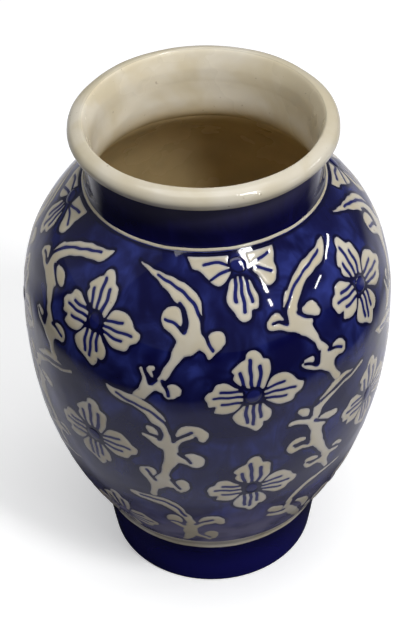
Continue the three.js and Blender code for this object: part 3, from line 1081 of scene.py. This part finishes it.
def bare_clay():
    """Grainy unglazed clay."""
    glazes = bpy.context.scene.vase_glazes
    material, tree, shader, where = new_glaze("foot_clay", 0.75, 0.2, 0.0001)
    grains = add_range(tree, add_noise(tree, where, 700, 3.0), 0.35, 0.7)
    colour = add_mix(tree, grains, [c * 0.75 for c in glazes.clay], [c * 1.1 for c in glazes.clay])
    tree.links.new(colour, shader.inputs["Base Color"])
    return material


@functools.lru_cache(maxsize=None)
def finish_named(name):
    """A glaze by its name, made once."""
    makers = (cobalt_glaze, navy_glaze, cream_glaze, inner_glaze, bare_clay)
    return {maker.__name__: maker for maker in makers}[name]()


# ---------------------------------------------------------------- pieces


class VASE_OT_body(Operator):
    """Turn the body: floor, belly and shoulder in one wall"""

    bl_idname = "vase.body"
    bl_label = "Body"

    def execute(self, context):
        step = context.scene.vase_surface.row_step / MM
        arcs = np.linspace(WALL_LENGTH, 0, round(WALL_LENGTH / step) + 1)
        heights = height_down(arcs)
        outside = [(float(wall_radius(h)), float(h)) for h in heights]
        inside = []
        for h in np.linspace(NECK_LINE - 1, FOOT_TOP + 8, 44):
            slope = float(wall_slope(h))
            length = math.hypot(1, slope)
            radius = float(wall_radius(h)) - BODY_WALL / length
            inside.append((radius, h + BODY_WALL * slope / length))
        inside = [(r, h) for r, h in inside if r > BODY_OPENING and h > FLOOR_TOP + 9]
        turn = smooth_outline(
            [inside[-1], (51.0, FLOOR_TOP + 4.2), (44.0, FLOOR_TOP + 0.6), (36.0, FLOOR_TOP)], False, 5,
        )
        outline = [
            (0.0, FLOOR_UNDERSIDE), (PLUG_RADIUS * 0.5, FLOOR_UNDERSIDE), (PLUG_RADIUS, FLOOR_UNDERSIDE),
            (PLUG_RADIUS, FOOT_TOP), *outside, (BODY_OPENING, NECK_LINE), (BODY_OPENING, NECK_LINE - 4),
            *inside[:-1], *turn, (24.0, FLOOR_TOP), (12.0, FLOOR_TOP), (0.0, FLOOR_TOP),
        ]
        piece = turned_piece("vase_body", outline, closed=False)
        around, height = face_places(piece)
        wave_piece(piece)
        finish_piece(piece, ("cobalt_glaze", "inner_glaze", "cream_glaze"), ("lower_body", "upper_body"))
        paint_faces(piece, (around < wall_radius(height) - BODY_WALL / 2) & (height > FLOOR_TOP - 1), 1)
        paint_faces(piece, height < FOOT_TOP - 0.2, 2)
        return {"FINISHED"}


class VASE_OT_neck(Operator):
    """Turn the neck, with its bore running into the shoulder"""

    bl_idname = "vase.neck"
    bl_label = "Neck"

    def execute(self, context):
        outside = smooth_outline(
            [(NECK_SEAT + 0.05, NECK_LINE - 0.2), (NECK_SEAT - 0.5, NECK_LINE + 0.9),
             (NECK_THROAT + 0.2, NECK_LINE + 2.6), (NECK_THROAT, NECK_LINE + 5.5),
             (NECK_THROAT - 0.1, NECK_LINE + 12), (NECK_THROAT, LIP_BASE - 1), (NECK_THROAT, LIP_BASE + 1.5)],
            False, 6,
        )
        bore = smooth_outline(
            [(NECK_BORE + 1.7, LIP_BASE + 1.5), (NECK_BORE + 1.2, LIP_BASE - 2.5),
             (NECK_BORE + 0.74, LIP_BASE - 6.6), (NECK_BORE + 0.4, LIP_BASE - 12.0),
             (NECK_BORE + 0.1, NECK_LINE + 6), (NECK_BORE + 0.5, NECK_LINE + 0.5),
             (NECK_BORE + 2.0, NECK_LINE - 3.0), (NECK_BORE + 4.4, NECK_LINE - 5.0)],
            False, 8,
        )
        spigot = [(NECK_BORE + 4.6, NECK_LINE - 4.0), (NECK_BORE + 4.2, NECK_LINE - 0.6)]
        piece = turned_piece("vase_neck", [*spigot, *outside, *bore])
        around, height = face_places(piece)
        wave_piece(piece)
        finish_piece(piece, ("navy_glaze", "inner_glaze"), ("neck_collar",))
        paint_faces(piece, (around < NECK_THROAT - 1.5) | (height < NECK_LINE - 0.5), 1)
        return {"FINISHED"}


class VASE_OT_lip(Operator):
    """Turn the heavy rolled lip"""

    bl_idname = "vase.lip"
    bl_label = "Lip"

    def execute(self, context):
        outline = smooth_outline(
            [(NECK_THROAT - 0.6, LIP_BASE + 0.9), (NECK_THROAT + 0.6, LIP_BASE + 0.1),
             (LIP_RADIUS - 2.5, LIP_BASE + 0.1), (LIP_RADIUS - 1.2, LIP_BASE + 0.9),
             (LIP_RADIUS - 0.3, LIP_BASE + 2.7), (LIP_RADIUS, RIM - 5.7), (LIP_RADIUS - 0.4, RIM - 4.2),
             (LIP_RADIUS - 1.5, RIM - 2.7), (LIP_RADIUS - 3.2, RIM - 1.7), (LIP_RADIUS - 4.8, RIM - 1.2),
             (NECK_BORE + 4.5, RIM - 1.1), (NECK_BORE + 3.8, RIM - 1.8), (NECK_BORE + 3.1, RIM - 3.3),
             (NECK_BORE + 2.3, RIM - 5.8), (NECK_BORE + 1.6, RIM - 8.4), (NECK_BORE + 1.1, LIP_BASE - 1.4),
             (NECK_BORE + 0.74, LIP_BASE - 6.0), (NECK_BORE + 0.85, LIP_BASE - 9.0),
             (NECK_BORE + 1.3, LIP_BASE - 11.0), (NECK_BORE + 2.2, LIP_BASE - 10.0),
             (NECK_BORE + 2.4, LIP_BASE - 1.0)],
        )
        piece = turned_piece("vase_lip", outline)
        around, _ = face_places(piece)
        wave_piece(piece)
        finish_piece(piece, ("cream_glaze", "inner_glaze"), ("rolled_lip",))
        paint_faces(piece, around < NECK_BORE + 4.0, 1)
        return {"FINISHED"}


class VASE_OT_foot(Operator):
    """Turn the tall foot ring, with a bare standing edge"""

    bl_idname = "vase.foot"
    bl_label = "Foot"

    def execute(self, context):
        outline = smooth_outline(
            [(FOOT_BASE - 1.6, 0.0), (FOOT_BASE - 0.5, 0.35), (FOOT_BASE, 1.4), (FOOT_BASE + 0.5, 5.0),
             (FOOT_BASE + 1.7, 14.0), (FOOT_BASE + 3.1, 23.0), (FOOT_SEAT - 0.1, FOOT_TOP - 2.0),
             (FOOT_SEAT, FOOT_TOP - 0.1)],
            False, 6,
        )
        inside = [
            (FOOT_SEAT - 6.9, FOOT_TOP - 0.1), (FOOT_INSIDE + 3.0, 22.0), (FOOT_INSIDE + 1.8, 13.0),
            (FOOT_INSIDE + 0.6, 4.0), (FOOT_INSIDE + 0.5, 1.4), (FOOT_INSIDE + 1.0, 0.4),
            (FOOT_INSIDE + 2.0, 0.0),
        ]
        piece = turned_piece("vase_foot", [*outline, *inside])
        around, height = face_places(piece)
        wave_piece(piece)
        finish_piece(piece, ("navy_glaze", "cream_glaze", "bare_clay"), ("foot_ring",))
        paint_faces(piece, around < FOOT_BASE - 3.5, 1)
        paint_faces(piece, height < 0.3, 2)
        return {"FINISHED"}


class VASE_OT_bands(Operator):
    """Lay the cream line under the neck and the cream band over the foot"""

    bl_idname = "vase.bands"
    bl_label = "Cream bands"

    def execute(self, context):
        line = smooth_outline(
            [(NECK_SEAT - 0.9, NECK_LINE + 0.3), (NECK_SEAT - 0.4, NECK_LINE + 0.65),
             (NECK_SEAT + 0.05, NECK_LINE + 0.4), (NECK_SEAT + 0.35, NECK_LINE),
             (NECK_SEAT + 0.4, NECK_LINE - 0.45), (NECK_SEAT - 0.3, NECK_LINE - 0.5)],
            True, 4,
        )
        band_top = float(height_down(WALL_LENGTH - FOOT_BAND))
        climb = np.linspace(FOOT_TOP + 1.2, band_top, 7)
        face = [(float(wall_radius(h)) + 0.16, float(h)) for h in climb[:-1]]
        back = [(float(wall_radius(h)) - 0.9, float(h)) for h in climb[::-1]]
        band = smooth_outline(
            [(FOOT_SEAT - 1.2, FOOT_TOP - 1.2), (FOOT_SEAT - 0.35, FOOT_TOP - 2.1),
             (FOOT_SEAT + 0.2, FOOT_TOP - 1.5), (FOOT_SEAT + 0.4, FOOT_TOP - 0.2), *face,
             (float(wall_radius(band_top)) - 0.05, band_top + 0.3), *back],
            True, 4,
        )
        for name, outline in (("neck_line", line), ("foot_band", band)):
            piece = turned_piece(name, outline)
            points = read_points(piece.data)
            angle = np.arctan2(points[:, 0], -points[:, 1])
            for height, turns, phase in ((0.1, 3, 1), (0.07, 11, 2), (0.05, 23, 0)):
                points[:, 2] += height * np.sin(turns * angle + phase)
            move_points(piece.data, points)
            wave_piece(piece)
            finish_piece(piece, ("cream_glaze",))
        return {"FINISHED"}


class VASE_OT_flowers(Operator):
    """Paint the cream flowers on the wall"""

    bl_idname = "vase.flowers"
    bl_label = "Flowers"

    def execute(self, context):
        flowers, _, _ = painted_depths()
        finish_piece(cream_shape("painted_flowers", flowers), ("cream_glaze",))
        return {"FINISHED"}


class VASE_OT_vines(Operator):
    """Paint the cream vines on the wall"""

    bl_idname = "vase.vines"
    bl_label = "Vines"

    def execute(self, context):
        _, vines, _ = painted_depths()
        finish_piece(cream_shape("painted_vines", vines), ("cream_glaze",))
        return {"FINISHED"}


class VASE_OT_outlines(Operator):
    """Ink round every painted shape, fading into the ground"""

    bl_idname = "vase.outlines"
    bl_label = "Ink outlines"

    def execute(self, context):
        width = context.scene.vase_surface.outline_width / MM
        flowers, vines, whole = painted_depths()
        down = FLAT_DOWN[:, None]
        lines = np.maximum(0.8 - down, down - (WALL_LENGTH - FOOT_BAND))
        thick = 1 + (FOOT_INK / width / 1.35 - 1) * ease((down - (WALL_LENGTH - FOOT_BAND - FOOT_INK)) / 3)
        rng = np.random.default_rng(context.scene.vase_surface.seed + 50)
        across_waves = FLAT_ACROSS[None, :] * math.pi / HALF_ROUND
        uneven = np.zeros((ROWS_FLAT, COLUMNS_FLAT))
        for _ in range(14):
            turns = rng.integers(8, 60)
            uneven += np.sin(turns * across_waves + down * rng.uniform(-0.5, 0.5) + rng.uniform(0, 6))
        reach = width * (1.35 + 0.16 * np.clip(uneven / 2.6, -2, 2))
        reach = np.where(lines > np.maximum(flowers, vines), reach * thick, reach)
        for name, shape in (("flower_ink", flowers), ("vine_ink", np.maximum(vines, lines))):
            other = vines if name == "flower_ink" else flowers
            owned = np.where(shape >= other, 5.0, shape - other + 0.4)
            band = np.minimum(np.minimum(shape + reach, 0.42 - shape), owned)
            across, arc, edge, faces = flat_to_mesh(band)
            column = (across + HALF_ROUND) / PITCH
            row = np.interp(arc, FLAT_DOWN, np.arange(ROWS_FLAT))
            inside = sample(shape, row, column)
            spread = sample(reach, row, column)
            vein = ease((sample(whole, row, column) - 0.7) / 0.6)
            points, normals = on_wall(across, arc)
            points, turned = waved(points, normals)
            fade = ease((spread + inside) / spread)
            lift = -0.03 + 0.06 * ease(edge / 0.35)
            lift = np.where(inside > 0, 0.03 - 0.3 * inside, lift)
            ink = np.where(inside > 0, 1.0, ease(fade * 1.7))
            points = points + normals * lift[:, None]
            piece = mesh_piece(name, points, faces, {"ink": ink, "vein": vein}, turned)
            finish_piece(piece, ("cobalt_glaze",))
        return {"FINISHED"}


def sample(grid, row, column):
    """Values between the places of a flat grid, which goes round."""
    row = np.clip(row, 0, ROWS_FLAT - 1.001)
    column = column % COLUMNS_FLAT
    i, j = row.astype(int), column.astype(int) % COLUMNS_FLAT
    s, t = row - i, column - np.floor(column)
    k = (j + 1) % COLUMNS_FLAT
    top = grid[i, j] * (1 - t) + grid[i, k] * t
    bottom = grid[i + 1, j] * (1 - t) + grid[i + 1, k] * t
    return top * (1 - s) + bottom * s


class VASE_OT_centres(Operator):
    """Lay a domed blue dot in each flower"""

    bl_idname = "vase.centres"
    bl_label = "Flower centres"

    def execute(self, context):
        height = context.scene.vase_surface.centre_height / MM
        rng = np.random.default_rng(context.scene.vase_surface.seed + 90)
        rings, spokes = 9, 40
        turn = np.arange(spokes) * 2 * math.pi / spokes
        all_points, all_faces, all_ink = [], [], []
        for _, angle, drop, width, tall in FLOWERS:
            squash, phase = rng.uniform(0.94, 1.06), rng.uniform(0, 2 * math.pi)
            far = np.concatenate([[0.0], np.repeat(np.arange(1, rings + 1) / rings, spokes)])
            way = np.concatenate([[0.0], np.tile(turn, rings)])
            size = 3.8 * far * (1 + 0.05 * np.sin(2 * way + phase))
            across = angle * ROUND_PER_DEGREE + 0.2 + size * squash * width * np.cos(way)
            down = drop - size / squash * tall * np.sin(way)
            points, normals = on_wall(across, np.clip(down, 0, WALL_LENGTH))
            points, turned = waved(points, normals)
            rise = height * (1 - far**2) ** 0.6 - 0.05 * far**4
            points = points + turned * (rise + 0.03)[:, None]
            faces = [(0, 1 + i, 1 + (i + 1) % spokes) for i in range(spokes)]
            for ring in range(rings - 1):
                near, away = 1 + ring * spokes, 1 + (ring + 1) * spokes
                for i in range(spokes):
                    j = (i + 1) % spokes
                    faces += [(near + i, away + i, away + j), (near + i, away + j, near + j)]
            faces = np.array(faces)
            faces = faces[down[faces].min(axis=1) > TOP_GAP - 1]
            start = sum(len(group) for group in all_points)
            all_points.append(points)
            all_faces.append(faces + start)
            all_ink.append(ease((far - 0.6) / 0.3))
        points, faces, ink = np.concatenate(all_points), np.concatenate(all_faces), np.concatenate(all_ink)
        used, faces = np.unique(faces, return_inverse=True)
        ink = ink[used]
        attributes = {"ink": ink, "vein": 0.7 * (1 - ink)}
        piece = mesh_piece("flower_centres", points[used], faces.reshape(-1, 3), attributes)
        finish_piece(piece, ("cobalt_glaze",))
        return {"FINISHED"}


# ---------------------------------------------------------------- stage


def facing_light(name, azimuth, elevation, size_across, size_up, radiance, distance=1.6, roll=0.0):
    """An area light that faces the vase's shoulder. Azimuth 0 is in front and 90 on the right."""
    start_clean(name)
    a, e = math.radians(azimuth), math.radians(elevation)
    target = Vector((0, 0, NECK_LINE * MM))
    way = Vector((math.sin(a) * math.cos(e), -math.cos(a) * math.cos(e), math.sin(e)))
    data = bpy.data.lights.new(name, "AREA")
    data.shape = "RECTANGLE"
    data.size = 2 * distance * math.tan(math.radians(size_across / 2))
    data.size_y = 2 * distance * math.tan(math.radians(size_up / 2))
    data.energy = radiance * math.pi * data.size * data.size_y
    light = bpy.data.objects.new(name, data)
    bpy.context.scene.collection.objects.link(light)
    light.location = target + way * distance
    light.rotation_euler = way.to_track_quat("Z", "Y").to_euler()
    light.rotation_euler.rotate_axis("Z", math.radians(roll))


class VASE_OT_stage(Operator):
    """Set the pale floor, the soft lights and the camera"""

    bl_idname = "vase.stage"
    bl_label = "Stage"

    def execute(self, context):
        studio = context.scene.vase_studio
        start_clean("floor")
        bpy.ops.mesh.primitive_plane_add(size=16, location=(0, 0, 0))
        floor = context.object
        floor.name = "floor"
        paper = bpy.data.materials.new("floor_paper")
        paper.use_nodes = True
        tree = paper.node_tree
        shader = tree.nodes["Principled BSDF"]
        shader.inputs["Roughness"].default_value = 0.9
        where = tree.nodes.new("ShaderNodeTexCoord").outputs["Object"]
        back = add_axis(tree, where, "Y")
        away = tree.nodes.new("ShaderNodeVectorMath")
        away.operation = "LENGTH"
        tree.links.new(where, away.inputs[0])
        away = away.outputs["Value"]
        # What the glaze reflects, painted into the floor: darkened close to the foot as a painted shadow
        # under the belly, darkened far in front as a painted dark reflection, grey between, pale behind.
        dark = (0.02, 0.02, 0.025)
        grey, pale = (0.52, 0.52, 0.58), (0.92, 0.91, 0.95)
        behind = add_mix(tree, add_range(tree, back, -0.04, 0.12), grey, pale)
        far, in_front = add_range(tree, away, 0.25, 0.34), add_range(tree, back, 0.25, 0.08)
        around = add_mix(tree, add_math(tree, "MULTIPLY", far, in_front), behind, dark)
        bounced = add_mix(tree, add_range(tree, away, 0.075, 0.11), dark, around)
        seen = tree.nodes.new("ShaderNodeLightPath").outputs["Is Camera Ray"]
        tree.links.new(add_mix(tree, seen, bounced, studio.floor_colour), shader.inputs["Base Color"])
        shader.inputs["Emission Color"].default_value = (1, 1, 1, 1)
        tree.links.new(add_math(tree, "MULTIPLY", seen, 0.4), shader.inputs["Emission Strength"])
        floor.data.materials.append(paper)

        world = bpy.data.worlds.new("studio_air")
        world.use_nodes = True
        air = world.node_tree.nodes["Background"]
        air.inputs["Color"].default_value = (0.93, 0.96, 1.0, 1)
        air.inputs["Strength"].default_value = 0.13
        context.scene.world = world

        facing_light("overhead_softbox", 12, 85, 50, 41, 2.75)
        facing_light("left_panel", -100, 35, 70, 60, 0.12)
        facing_light("window", 40, 50.8, 8.6, 11, 40)
        facing_light("window_post", 41.3, 37.5, 1.5, 15, 60)
        facing_light("window_gap", 39.7, 24, 1.3, 5.2, 60)
        facing_light("side_lamp", 95.2, 19.5, 14.2, 1.4, 30, roll=11)
        facing_light("side_lamp_low", 75.7, 15.3, 8.5, 1.2, 30, roll=17)

        start_clean("camera")
        data = bpy.data.cameras.new("camera")
        data.lens = studio.lens
        data.sensor_width = 36
        data.clip_start = 0.05
        data.clip_end = 20
        camera = bpy.data.objects.new("camera", data)
        context.scene.collection.objects.link(camera)
        tilt = Matrix.Rotation(math.pi / 2 - studio.camera_tilt, 4, "X")
        roll = Matrix.Rotation(studio.camera_roll, 4, "Z")
        place = Matrix.Translation((0, -studio.camera_away, studio.camera_height))
        camera.matrix_world = place @ tilt @ roll
        context.scene.camera = camera
        context.scene.view_settings.view_transform = "Standard"
        return {"FINISHED"}


class VASE_PT_panel(Panel):
    """Buttons that build the vase, with its sizes and colours"""

    bl_idname = "VASE_PT_panel"
    bl_label = "Painted vase"
    bl_space_type = "VIEW_3D"
    bl_region_type = "UI"
    bl_category = "Vase"

    def draw(self, context):
        layout = self.layout
        for operator in OPERATORS:
            layout.operator(operator.bl_idname)
        for group in (context.scene.vase_glazes, context.scene.vase_surface, context.scene.vase_studio):
            box = layout.box()
            for key in group.bl_rna.properties.keys():
                if key not in ("rna_type", "name"):
                    box.prop(group, key)


GROUPS = (VaseGlazes, VaseSurface, VaseStudio)
OPERATORS = (
    VASE_OT_body, VASE_OT_neck, VASE_OT_lip, VASE_OT_foot, VASE_OT_bands, VASE_OT_flowers, VASE_OT_vines,
    VASE_OT_outlines, VASE_OT_centres, VASE_OT_stage,
)
CLASSES = (*GROUPS, *OPERATORS, VASE_PT_panel)


def register():
    for each in CLASSES:
        bpy.utils.register_class(each)
    bpy.types.Scene.vase_glazes = PointerProperty(type=VaseGlazes)
    bpy.types.Scene.vase_surface = PointerProperty(type=VaseSurface)
    bpy.types.Scene.vase_studio = PointerProperty(type=VaseStudio)


def unregister():
    del bpy.types.Scene.vase_studio
    del bpy.types.Scene.vase_surface
    del bpy.types.Scene.vase_glazes
    for each in reversed(CLASSES):
        bpy.utils.unregister_class(each)


def main():
    """Builds the vase and its stage."""
    register()
    bpy.ops.vase.body()
    bpy.ops.vase.neck()
    bpy.ops.vase.lip()
    bpy.ops.vase.foot()
    bpy.ops.vase.bands()
    bpy.ops.vase.flowers()
    bpy.ops.vase.vines()
    bpy.ops.vase.outlines()
    bpy.ops.vase.centres()
    bpy.ops.vase.stage()


if __name__ == "__main__":
    main()
